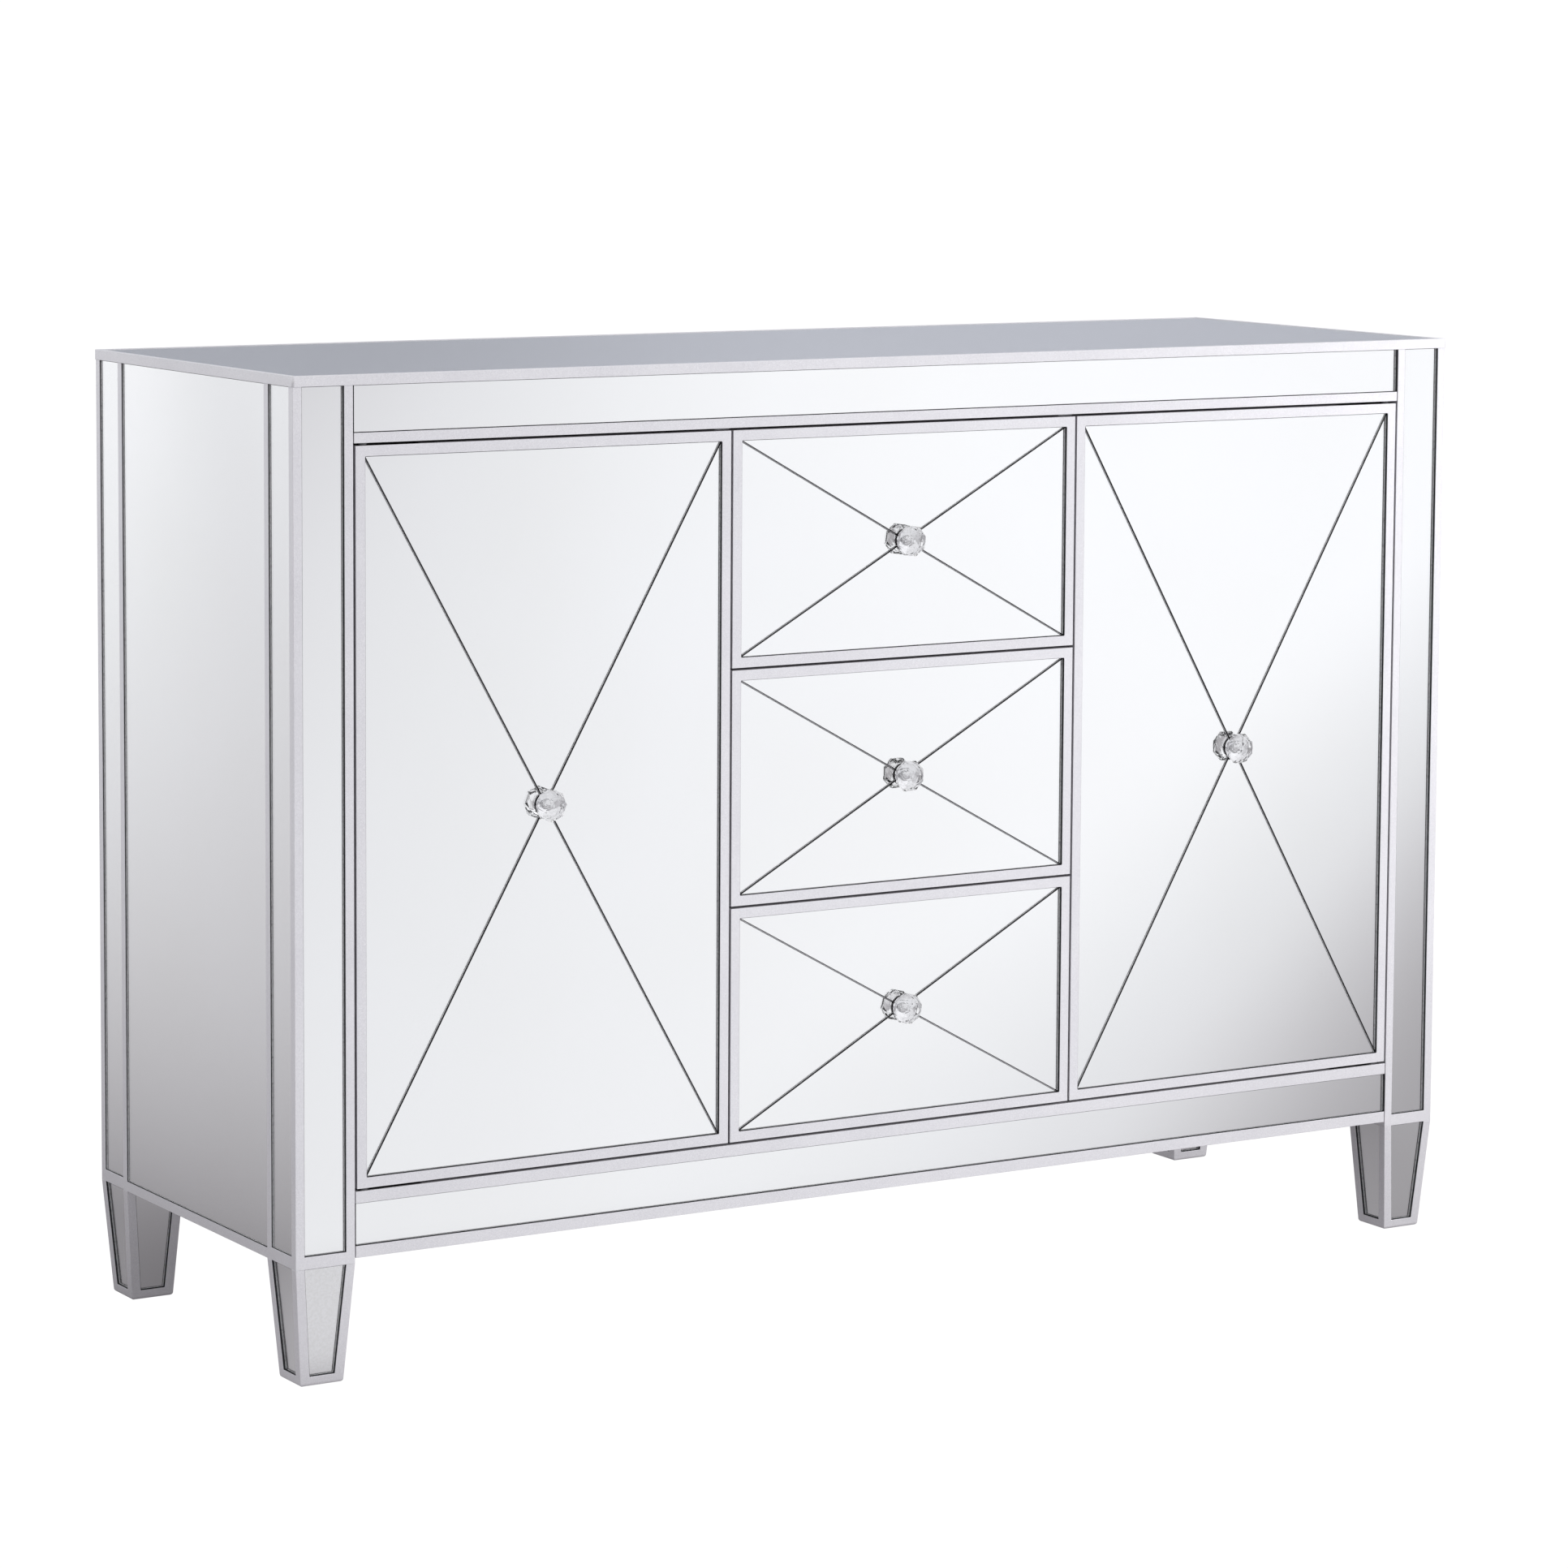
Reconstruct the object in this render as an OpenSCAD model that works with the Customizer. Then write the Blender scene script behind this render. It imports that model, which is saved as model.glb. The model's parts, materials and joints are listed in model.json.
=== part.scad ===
// Mirrored sideboard: two doors and three drawers between four corner posts.
// Silver-painted boards carry sheets of mirror glass in shallow pockets.
// The floor is z = 0, the front faces -Y, and x = 0 is the middle of the front.

/* [Overall] */
// Width over the top board
total_w = 1220; // [1100:2:1400]
// Depth over the top board, without the knobs
total_d = 406; // [390:2:480]
// Height from the floor to the top face
total_h = 864; // [820:2:920]

/* [Top] */
// Thickness of the top board
top_t = 9; // [8:0.5:18]
// How far the top board stands out past the posts
top_overhang = 1; // [0.5:0.5:4]
// Radius of the top board's corners, seen from above
top_corner_r = 2.5; // [1:0.5:6]
// Silver margin around the top mirror
top_border = 6; // [5:0.5:20]

/* [Posts and feet] */
// Side of a square corner post
post_w = 56; // [52:0.5:64]
// Silver border beside the mirrors of a post or a foot
post_border = 8.3; // [6:0.1:12]
// Level of the post bottoms, where the feet are bolted on
foot_h = 104.7; // [90:0.1:120]
// How far each face of a foot leans in over its height
foot_taper = 7.8; // [4:0.1:10]
// Rounding of the lower edges of a foot
foot_edge_r = 3; // [1:0.5:5]
// Thickness of the plastic glide under a foot
glide_t = 1; // [1:0.5:4]

/* [Rails] */
// Thickness of the boards of the carcass front and sides
board_t = 18; // [16:1:20]
// Height of the rail above the doors
apron_h = 49; // [45:1:60]
// Height of the rail below the doors
low_rail_h = 57.5; // [50:0.5:65]
// Height of the lower rail's underside above the post bottoms
rail_lift = 4.5; // [0:0.5:10]
// Shadow gap between the ends of a rail and the posts
rail_gap = 0.8; // [0:0.1:1.5]
// Silver border below the mirrors of the upper rail and the sides
apron_border = 8.8; // [8:0.1:12]
// Silver border above and below the mirror of the lower rail
rail_border = 10.3; // [8:0.1:12]

/* [Doors and drawers] */
// Distance between the centre lines of the two upright gaps
bay_w = 365.4; // [340:0.2:390]
// Gap around the doors and drawer fronts
reveal = 2.2; // [1.8:0.1:3]
// Thickness of a door or drawer front
front_t = 17.5; // [16:0.5:17.5]
// Silver border of a door or drawer front
front_border = 9; // [8:0.5:14]
// Gap between the triangular mirrors
mirror_gap = 1.0; // [1:0.1:3]
// How far a drawer pulls out
drawer_travel = 260; // [200:10:260]

/* [Glass] */
// Thickness of the mirror glass
glass_t = 2; // [2:0.5:3.5]
// Depth of the glass below the front faces of posts and rails, and on the feet
deep_recess = 2; // [1:0.5:4]
// Depth of the glass below the side faces of the posts and of the sides
side_recess = 1; // [0.5:0.5:4]
// Depth of the glass below the faces of doors and drawers
front_recess = 2; // [1:0.5:3.5]
// Depth of the glass below the face of the top board
top_recess = 0.4; // [0.2:0.2:1]

/* [Knobs] */
// Diameter of a crystal knob over its corners
knob_d = 29.5; // [24:0.5:36]
// Height of a knob above the glass
knob_h = 20; // [16:1:32]

/* [Inside] */
// Thickness of the bottom board, the dividers and the shelves
inner_t = 15; // [12:1:18]
// Level of the top face of the shelves
shelf_z = 510; // [420:5:600]
// Thickness of the back panel
back_t = 5; // [3:0.5:6]
// Thickness of the drawer sides and backs
box_t = 12; // [10:1:14]
// Height of the drawer sides
box_h = 150; // [110:5:160]
// Thickness of the drawer bottoms
box_bottom_t = 4; // [3:0.5:5]
// Length of the drawer slides and drawer sides
slide_l = 350; // [350:5:355]

/* [Hidden] */
$fn = 48;

// Colours
silver = [0.80, 0.80, 0.83];
mirror_tint = [0.90, 0.92, 0.95];
crystal = [0.92, 0.95, 0.98, 0.6];
steel = [0.55, 0.56, 0.58];
zinc = [0.70, 0.71, 0.72];
inner_paint = [0.72, 0.72, 0.74];
dark_plastic = [0.12, 0.12, 0.13];

// Clearances
eps = 0.01;
glass_play = 0.3;
running_play = 0.05;
loose_play = 0.3;

// Body planes
body_w = total_w - 2 * top_overhang;
body_d = total_d - 2 * top_overhang;
side_x = body_w / 2;
knob_out = knob_h - front_recess;
front = (knob_out - body_d - top_overhang) / 2;
back = front + body_d;
carcass_top = total_h - top_t;
post_in_x = side_x - post_w;
rail_x = post_in_x - rail_gap;
post_in_front = front + post_w;
post_in_back = back - post_w;
low_rail_z = foot_h + rail_lift;
open_z0 = low_rail_z + low_rail_h;
open_z1 = carcass_top - apron_h;
back_inset = 3;
panel_front = back - back_inset - back_t;

// Pockets
deep_pocket = deep_recess + glass_t;
side_pocket = side_recess + glass_t;
front_pocket = front_recess + glass_t;
pocket_r = 1;

// Doors and drawers
bay_x = bay_w / 2;
door_w = post_in_x - bay_x - 1.5 * reveal;
door_h = open_z1 - open_z0 - 2 * reveal;
door_z = open_z0 + reveal;
drawer_w = bay_w - reveal;
drawer_h = (open_z1 - open_z0 - 4 * reveal) / 3;
drawer_pitch = drawer_h + reveal;
front_back = front + front_t;

// Hinges: knife hinges let into the upper and lower edges of the doors
pin_r = 2.5;
pin_in = 9;
pin_back = 6;
pin_depth = 4;
plate_l = 60;
plate_w = 12;
plate_t = 2;
plate_front = 3;
collar_r = 4.5;
hinge_x = post_in_x - reveal - pin_in;
hinge_y = front + pin_back;

// Catches
catch_w = 14;
catch_h = 42;
catch_d = 13;
catch_drop = 14;
strike_t = 1;

// Knobs
base_r = 10;
base_t = 2.5;
stud_r = 2;
screw_head_r = 4.2;
screw_head_t = 2.4;
crystal_bore_r = 3.2;
knob_turns = [0, 22.5, 9, 22.5, 14];

// Dividers, shelves and their pins
divider_in_x = bay_x - inner_t / 2;
divider_out_x = bay_x + inner_t / 2;
shelf_play = 0.8;
shelf_d = post_in_back - post_in_front - 2 * shelf_play;
shelf_pin_r = 2.5;
shelf_pin_l = 18;
shelf_pin_in = 9;
shelf_hole_pitch = 32;
shelf_pin_edge = 40;
shelf_pin_z = shelf_z - inner_t - shelf_pin_r;

// Drawer boxes
slide_w = 12.7;
box_x = divider_in_x - slide_w;
box_lift = 22;
groove = 5;
groove_up = 8;
groove_play = 0.2;
box_back_y = front_back + slide_l;

// Slides: outer channel on the divider, inner channel on the drawer side
slide_up = 60;
channel_t = 1.2;
outer_h = 35;
outer_d = 10.5;
inner_h = 24;
inner_from = 3.2;
cage_from = 1.7;
cage_to = 9;
cage_t = 0.8;
cage_z = 14.15;
cage_l = 86;
cage_start = 132;
ball_r = 1.8;
ball_u = 6;
ball_rows = 4;

// Feet
bolt_r = 4;
bolt_in = 40;
foot_angle = atan(foot_taper / (foot_h - glide_t));
foot_slant = (foot_h - glide_t) / cos(foot_angle);
foot_round_x = post_w / 2 - foot_taper + foot_edge_r * (tan(foot_angle) - 1 / cos(foot_angle));
foot_round_steps = 6;
foot_round = [for (i = [0 : foot_round_steps])
    let (turn = -90 + i * (90 - foot_angle) / foot_round_steps)
        [foot_round_x + foot_edge_r * cos(turn), glide_t + foot_edge_r * (1 + sin(turn))]];
foot_low_border = 8.5;
post_low_border = 10.8;
glide_r = 11;

// A box between two opposite corners
module block(low, high) {
    translate(low) cube(high - low);
}

// A flat rectangle with round corners, centred on the origin
module round_rect(w, h, r) {
    square([w - 2 * r, h], center = true);
    square([w, h - 2 * r], center = true);
    for (sx = [-1, 1])
        for (sy = [-1, 1])
            translate([sx * (w / 2 - r), sy * (h / 2 - r)]) circle(r);
}

// Turns a flat XY shape to stand in the front, its depth running to +Y
module face_front(y, depth) {
    translate([0, y + depth, 0]) rotate([90, 0, 0]) linear_extrude(depth) children();
}

// Puts a piece made for the front left corner at the corner on side sx, sy
module at_corner(sx, sy) {
    turn = sy < 0 ? (sx < 0 ? 0 : 90) : (sx > 0 ? 180 : 270);
    translate([sx * side_x, sy < 0 ? front : back, 0]) rotate([0, 0, turn]) children();
}

// Children at all four corners
module at_corners() {
    for (sx = [-1, 1])
        for (sy = [-1, 1])
            at_corner(sx, sy) children();
}

// A standing cylinder between two levels
module rod(r, x, y, z0, z1) {
    translate([x, y, z0]) cylinder(r = r, h = z1 - z0);
}

// A cylinder along Y between two depths
module rod_y(r, x, y0, y1, z) {
    translate([x, y1, z]) rotate([90, 0, 0]) cylinder(r = r, h = y1 - y0);
}

// A cylinder along X between two places
module rod_x(r, x0, x1, y, z) {
    translate([x0, y, z]) rotate([0, 90, 0]) cylinder(r = r, h = x1 - x0);
}

// ---------------------------------------------------------------- top

module top_board() {
    x = total_w / 2;
    pocket = top_recess + glass_t;
    color(silver) difference() {
        translate([0, (front + back) / 2, carcass_top]) linear_extrude(top_t)
            round_rect(total_w, total_d, top_corner_r);
        block(
            [-x + top_border, front - top_overhang + top_border, total_h - pocket],
            [x - top_border, back + top_overhang - top_border, total_h + eps]
        );
    }
}

module top_mirror() {
    x = total_w / 2 - top_border - glass_play;
    y_edge = top_overhang - top_border - glass_play;
    color(mirror_tint) block(
        [-x, front - y_edge, total_h - top_recess - glass_t],
        [x, back + y_edge, total_h - top_recess]
    );
}

// ---------------------------------------------------------------- posts

// Pocket, or the glass in it, on the face that looks along -Y
module post_panel(play, from, to) {
    block(
        [post_border + play, from, foot_h + post_low_border + play],
        [post_w - post_border - play, to, carcass_top + eps - play]
    );
}

// The same on the face that looks along -X
module post_panel_side(play, from, to) {
    translate([0, post_w, 0]) rotate([0, 0, -90]) post_panel(play, from, to);
}

// A post with pockets this deep on its -Y and -X faces, or none where it is 0
module post(front_in, side_in) {
    difference() {
        block([0, 0, foot_h], [post_w, post_w, carcass_top]);
        if (front_in > 0) post_panel(0, -eps, front_in);
        if (side_in > 0) post_panel_side(0, -eps, side_in);
        rod(bolt_r + running_play, post_w / 2, post_w / 2, foot_h - eps, foot_h + bolt_in);
    }
}

module front_posts() {
    color(silver) at_corner(-1, -1) post(deep_pocket, side_pocket);
    color(silver) at_corner(1, -1) post(side_pocket, deep_pocket);
}

module back_posts() {
    color(silver) at_corner(-1, 1) post(side_pocket, 0);
    color(silver) at_corner(1, 1) post(0, side_pocket);
}

module post_mirrors() {
    color(mirror_tint) {
        at_corner(-1, -1) post_panel(glass_play, deep_recess, deep_pocket);
        at_corner(-1, -1) post_panel_side(glass_play, side_recess, side_pocket);
        at_corner(1, -1) post_panel(glass_play, side_recess, side_pocket);
        at_corner(1, -1) post_panel_side(glass_play, deep_recess, deep_pocket);
        at_corner(-1, 1) post_panel(glass_play, side_recess, side_pocket);
        at_corner(1, 1) post_panel_side(glass_play, side_recess, side_pocket);
    }
}

// ---------------------------------------------------------------- feet

// Moves a shape drawn around the foot's axis to each of its four faces
module foot_faces() {
    for (i = [0 : 3])
        translate([post_w / 2, post_w / 2, foot_h]) rotate([0, 0, 90 * i])
            translate([0, -post_w / 2, 0]) rotate([foot_angle, 0, 0]) children();
}

// Pocket, or the glass in it, on one leaning face of a foot
module foot_panel(play, from, to) {
    top_half = post_w / 2 - post_border - play;
    low_half = post_w / 2 - foot_taper - post_border - play;
    low = foot_slant - foot_low_border - play;
    translate([0, to, 0]) rotate([90, 0, 0]) linear_extrude(to - from)
        polygon([[-top_half, eps - play], [top_half, eps - play], [low_half, -low], [-low_half, -low]]);
}

// Outline of a foot seen from one side, drawn out over the width of the post
module foot_outline() {
    translate([0, post_w / 2, 0]) rotate([90, 0, 0]) linear_extrude(post_w) polygon(concat(
        foot_round,
        [[post_w / 2, foot_h], [-post_w / 2, foot_h]],
        [for (i = [foot_round_steps : -1 : 0]) [-foot_round[i][0], foot_round[i][1]]]
    ));
}

module feet() {
    color(silver) at_corners() difference() {
        translate([post_w / 2, post_w / 2, 0]) intersection() {
            foot_outline();
            rotate([0, 0, 90]) foot_outline();
        }
        foot_faces() foot_panel(0, -eps, deep_pocket);
        rod(bolt_r + running_play, post_w / 2, post_w / 2, foot_h - bolt_in, foot_h + eps);
    }
}

module foot_mirrors() {
    color(mirror_tint) at_corners() foot_faces() foot_panel(glass_play, deep_recess, deep_pocket);
}

module foot_bolts() {
    color(zinc) at_corners()
        rod(bolt_r, post_w / 2, post_w / 2, foot_h - bolt_in + 2, foot_h + bolt_in - 2);
}

module floor_glides() {
    color(dark_plastic) at_corners() rod(glide_r, post_w / 2, post_w / 2, 0, glide_t);
}

// ---------------------------------------------------------------- rails

// Mortise for a hinge plate, or the plate, at level z on the door side sx
module hinge_plate(sx, play, z0, z1) {
    x_out = post_in_x - reveal - plate_front;
    x0 = sx > 0 ? x_out - plate_l : -x_out;
    block(
        [x0 - play, front + plate_front - play, z0],
        [x0 + plate_l + play, front + plate_front + plate_w + play, z1]
    );
}

module apron_rail() {
    color(silver) difference() {
        block([-rail_x, front, open_z1], [rail_x, front + board_t, carcass_top]);
        block(
            [-rail_x - eps, front - eps, open_z1 + apron_border],
            [rail_x + eps, front + deep_pocket, carcass_top + eps]
        );
        for (sx = [-1, 1]) hinge_plate(sx, running_play, open_z1 - eps, open_z1 + plate_t);
    }
}

module apron_mirror() {
    color(mirror_tint) block(
        [-rail_x + glass_play, front + deep_recess, open_z1 + apron_border + glass_play],
        [rail_x - glass_play, front + deep_pocket, carcass_top - glass_play]
    );
}

module low_rail() {
    color(silver) difference() {
        block([-rail_x, front, low_rail_z], [rail_x, front + board_t, open_z0]);
        block(
            [-rail_x - eps, front - eps, low_rail_z + rail_border],
            [rail_x + eps, front + deep_pocket, open_z0 - rail_border]
        );
        for (sx = [-1, 1]) hinge_plate(sx, running_play, open_z0 - plate_t, open_z0 + eps);
    }
}

module low_rail_mirror() {
    color(mirror_tint) block(
        [-rail_x + glass_play, front + deep_recess, low_rail_z + rail_border + glass_play],
        [rail_x - glass_play, front + deep_pocket, open_z0 - rail_border - glass_play]
    );
}

// ---------------------------------------------------------------- sides and back

// Three holes above each other for a shelf pin, at both ends of a shelf
module shelf_holes(x0, x1) {
    for (y = [post_in_front + shelf_pin_edge, post_in_back - shelf_pin_edge])
        for (i = [-1 : 1])
            rod_x(shelf_pin_r + running_play, x0, x1, y, shelf_pin_z + i * shelf_hole_pitch);
}

module side_panel() {
    difference() {
        block([-side_x, post_in_front, foot_h], [-side_x + board_t, post_in_back, carcass_top]);
        block(
            [-side_x - eps, post_in_front - eps, foot_h + apron_border],
            [-side_x + side_pocket, post_in_back + eps, carcass_top + eps]
        );
        shelf_holes(-side_x + board_t - shelf_pin_in, -side_x + board_t + eps);
    }
}

module side_panels() {
    color(silver) side_panel();
    color(silver) mirror([1, 0, 0]) side_panel();
}

module side_mirror() {
    block(
        [-side_x + side_recess, post_in_front + glass_play, foot_h + apron_border + glass_play],
        [-side_x + side_pocket, post_in_back - glass_play, carcass_top - glass_play]
    );
}

module side_mirrors() {
    color(mirror_tint) side_mirror();
    color(mirror_tint) mirror([1, 0, 0]) side_mirror();
}

// Inner rails at the back, and the screws that hold the back panel to them
back_rail_h = 60;
back_screw_r = 1.6;
back_screw_l = 22;
back_screw_xs = [for (i = [-3 : 3]) i * (post_in_x - 20) / 3];
back_screw_zs = [low_rail_z + 20, carcass_top - back_rail_h / 2];

module back_panel() {
    color([0.35, 0.27, 0.20]) difference() {
        block([-post_in_x, panel_front, low_rail_z], [post_in_x, back - back_inset, carcass_top]);
        for (x = back_screw_xs)
            for (z = back_screw_zs)
                rod_y(back_screw_r + running_play, x, panel_front - eps, back, z);
    }
}

module back_screws() {
    color(zinc) for (x = back_screw_xs) for (z = back_screw_zs) {
        rod_y(back_screw_r, x, back - back_inset - back_screw_l, back - back_inset + 0.5, z);
        rod_y(2.2 * back_screw_r, x, back - back_inset, back - back_inset + 1.6, z);
    }
}

module back_rails() {
    color(inner_paint) difference() {
        union() {
            block(
                [-post_in_x, panel_front - board_t, low_rail_z],
                [post_in_x, panel_front, open_z0 - inner_t]
            );
            block(
                [-post_in_x, panel_front - board_t, carcass_top - back_rail_h],
                [post_in_x, panel_front, carcass_top]
            );
        }
        for (x = back_screw_xs)
            for (z = back_screw_zs)
                rod_y(back_screw_r + running_play, x, back - back_inset - back_screw_l - 1, back, z);
    }
}

// ---------------------------------------------------------------- inside

module bottom_board() {
    color(inner_paint) difference() {
        block(
            [-side_x + board_t, front + board_t, open_z0 - inner_t],
            [side_x - board_t, panel_front, open_z0]
        );
        at_corners() block([-1, -1, 0], [post_w, post_w, total_h]);
    }
}

module divider() {
    difference() {
        block([-divider_out_x, front + board_t, open_z0], [-divider_in_x, panel_front, carcass_top]);
        block(
            [-divider_out_x - eps, panel_front - board_t, carcass_top - back_rail_h],
            [-divider_in_x + eps, panel_front + eps, carcass_top + eps]
        );
        shelf_holes(-divider_out_x - eps, -divider_out_x + shelf_pin_in);
    }
}

module dividers() {
    color(inner_paint) divider();
    color(inner_paint) mirror([1, 0, 0]) divider();
}

module shelf() {
    block(
        [-side_x + board_t + shelf_play, post_in_front + shelf_play, shelf_z - inner_t],
        [-divider_out_x - shelf_play, post_in_front + shelf_play + shelf_d, shelf_z]
    );
}

module shelves() {
    color(inner_paint) shelf();
    color(inner_paint) mirror([1, 0, 0]) shelf();
}

module shelf_pins() {
    panel_x = side_x - board_t;
    color(zinc) for (sx = [-1, 1])
        for (y = [post_in_front + shelf_pin_edge, post_in_back - shelf_pin_edge])
            for (x = [sx * (panel_x + shelf_pin_in - 1), sx * (divider_out_x - shelf_pin_in + 1)])
                let (inward = x == sx * (panel_x + shelf_pin_in - 1) ? -sx : sx)
                    rod_x(
                        shelf_pin_r,
                        min(x, x + inward * shelf_pin_l),
                        max(x, x + inward * shelf_pin_l),
                        y, shelf_pin_z
                    );
}

// ---------------------------------------------------------------- fixed hardware

// Plate, collar and pin of one fixed hinge half; up is 1 when the pin points up
module hinge_half(sx, z, up) {
    z_far = z + up * (reveal + plate_t + pin_depth);
    z_collar = z + up * (reveal - loose_play);
    hinge_plate(sx, 0, min(z, z - up * plate_t), max(z, z - up * plate_t));
    rod(collar_r, sx * hinge_x, hinge_y, min(z - up * eps, z_collar), max(z - up * eps, z_collar));
    rod(pin_r, sx * hinge_x, hinge_y, min(z - up * plate_t, z_far), max(z - up * plate_t, z_far));
}

module hinge_plates() {
    color(steel) for (sx = [-1, 1]) {
        hinge_half(sx, open_z1, -1);
        hinge_half(sx, open_z0, 1);
    }
}

module door_catch() {
    z1 = open_z1 - catch_drop;
    y0 = front_back + strike_t + 0.4;
    difference() {
        block([-divider_out_x - catch_w, y0, z1 - catch_h], [-divider_out_x, y0 + catch_d, z1]);
        block(
            [-divider_out_x - catch_w + 3, y0 - eps, z1 - catch_h + 8],
            [-divider_out_x - 3, y0 + 1.5, z1 - 8]
        );
    }
}

module door_catches() {
    color(dark_plastic) door_catch();
    color(dark_plastic) mirror([1, 0, 0]) door_catch();
}

// A channel along Y on the right side: web at u = web_u, flanges from u = a to u = b.
// u counts from the divider's face towards the drawer.
module channel(web_u, a, b, h, t, y0, y1, z) {
    block([divider_in_x - web_u - t, y0, z - h / 2], [divider_in_x - web_u, y1, z + h / 2]);
    for (s = [-1, 1])
        block(
            [divider_in_x - b, y0, z + s * (h / 2 - t / 2) - t / 2],
            [divider_in_x - a, y1, z + s * (h / 2 - t / 2) + t / 2]
        );
}

function drawer_z(i) = open_z0 + reveal + i * drawer_pitch;
function slide_z(i) = drawer_z(i) + box_lift + slide_up;

module both_sides() {
    children();
    mirror([1, 0, 0]) children();
}

module cabinet_slides() {
    y0 = front + board_t + 1;
    color(zinc) for (i = [0 : 2]) both_sides()
        channel(0, 0, outer_d, outer_h, channel_t, y0, y0 + slide_l, slide_z(i));
}

// ---------------------------------------------------------------- fronts

// Board of a door or drawer front, centred on x = 0 and standing on z = 0
module front_board(w, h) {
    difference() {
        block([-w / 2, front, 0], [w / 2, front_back, h]);
        translate([0, 0, h / 2]) face_front(front - eps, front_pocket + eps)
            round_rect(w - 2 * front_border, h - 2 * front_border, pocket_r);
        rod_y(stud_r + running_play, 0, front, front_back + eps, h / 2);
    }
}

// One of the two triangle shapes: its base lies along the side at y = b
module mirror_triangle(a, b) {
    k = mirror_gap / 2 * sqrt(a * a + b * b);
    polygon([[0, k / a], [a - k / b, b], [k / b - a, b]]);
}

// The four triangular mirrors of a front that stands on z = 0
module front_mirrors(w, h) {
    a = w / 2 - front_border - glass_play;
    b = h / 2 - front_border - glass_play;
    translate([0, 0, h / 2])
        for (turn = [0 : 3])
            face_front(front + front_recess, glass_t) difference() {
                intersection() {
                    rotate(90 * turn) mirror_triangle(turn % 2 == 0 ? a : b, turn % 2 == 0 ? b : a);
                    round_rect(2 * a, 2 * b, pocket_r);
                }
                circle(stud_r + 1);
            }
}

// Octagonal crystal knob on the glass at height z, turned about its own axis
module crystal_knob(z, turn) {
    y = front + front_recess - base_t;
    rise = knob_h - base_t;
    translate([0, y, z]) rotate([90, turn, 0]) difference() {
        rotate([0, 0, 22.5]) rotate_extrude($fn = 8) polygon([
            [0, 0], [0.56 * knob_d / 2, 0], [0.62 * knob_d / 2, 0.10 * rise],
            [knob_d / 2, 0.34 * rise], [knob_d / 2, 0.48 * rise],
            [0.66 * knob_d / 2, 0.86 * rise], [0.36 * knob_d / 2, rise], [0, rise]
        ]);
        translate([0, 0, -eps]) cylinder(r = crystal_bore_r, h = 0.62 * rise);
    }
}

// Metal base with its threaded sleeve, and the screw that holds it from inside
module knob_mount(z) {
    glass_y = front + front_recess;
    sleeve_end = glass_y - base_t - 0.58 * (knob_h - base_t);
    difference() {
        union() {
            rod_y(base_r, 0, glass_y - base_t, glass_y, z);
            rod_y(crystal_bore_r - running_play, 0, sleeve_end, glass_y, z);
        }
        rod_y(stud_r + running_play, 0, sleeve_end + 2, glass_y + eps, z);
    }
    rod_y(stud_r, 0, sleeve_end + 3, front_back + eps, z);
    rod_y(screw_head_r, 0, front_back, front_back + screw_head_t, z);
}

// ---------------------------------------------------------------- doors

door_x = post_in_x - reveal - door_w / 2;

// Moves a door part from the middle to the left (-1) or right (1) door
module to_door(sx) {
    translate([sx * door_x, 0, door_z]) children();
}

module door_frame(sx) {
    color(silver) difference() {
        to_door(sx) front_board(door_w, door_h);
        hinge_plate(sx, running_play, door_z - eps, door_z + plate_t);
        hinge_plate(sx, running_play, door_z + door_h - plate_t, door_z + door_h + eps);
        rod(pin_r + loose_play, sx * hinge_x, hinge_y, door_z, door_z + plate_t + pin_depth + 1);
        rod(
            pin_r + loose_play, sx * hinge_x, hinge_y,
            door_z + door_h - plate_t - pin_depth - 1, door_z + door_h
        );
    }
}

module door_mirrors(sx) {
    color(mirror_tint) to_door(sx) front_mirrors(door_w, door_h);
}

module door_knob(sx) {
    color(crystal) to_door(sx) crystal_knob(door_h / 2, knob_turns[sx < 0 ? 0 : 1]);
}

module door_knob_mount(sx) {
    color(steel) to_door(sx) knob_mount(door_h / 2);
}

// Two hinge leaves with bearing holes, and the strike plate of the catch
module door_hardware(sx) {
    color(steel) for (z = [door_z, door_z + door_h - plate_t]) difference() {
        hinge_plate(sx, 0, z, z + plate_t);
        rod(pin_r + running_play, sx * hinge_x, hinge_y, z - eps, z + plate_t + eps);
    }
    strike_x = divider_out_x + catch_w / 2;
    strike_z = open_z1 - catch_drop - catch_h / 2;
    color(zinc) block(
        [sx * strike_x - 5, front_back, strike_z - 14],
        [sx * strike_x + 5, front_back + strike_t, strike_z + 14]
    );
}

// ---------------------------------------------------------------- drawers

module to_drawer(i) {
    translate([0, 0, drawer_z(i)]) children();
}

// Slot for the drawer bottom, or the bottom itself
module bottom_sheet(play) {
    x = box_x - box_t + groove - (play > 0 ? 0 : groove_play);
    z = box_lift + groove_up;
    y_end = slide_l + front_back - box_t + groove - (play > 0 ? 0 : groove_play);
    y_start = front_back - groove + (play > 0 ? 0 : groove_play);
    block([-x, y_start, z - play], [x, y_end, z + box_bottom_t + play]);
}

module drawer_front(i) {
    color(silver) to_drawer(i) difference() {
        front_board(drawer_w, drawer_h);
        bottom_sheet(groove_play);
    }
}

module drawer_mirrors(i) {
    color(mirror_tint) to_drawer(i) front_mirrors(drawer_w, drawer_h);
}

module drawer_knob(i) {
    color(crystal) to_drawer(i) crystal_knob(drawer_h / 2, knob_turns[2 + i]);
}

module drawer_knob_mount(i) {
    color(steel) to_drawer(i) knob_mount(drawer_h / 2);
}

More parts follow.
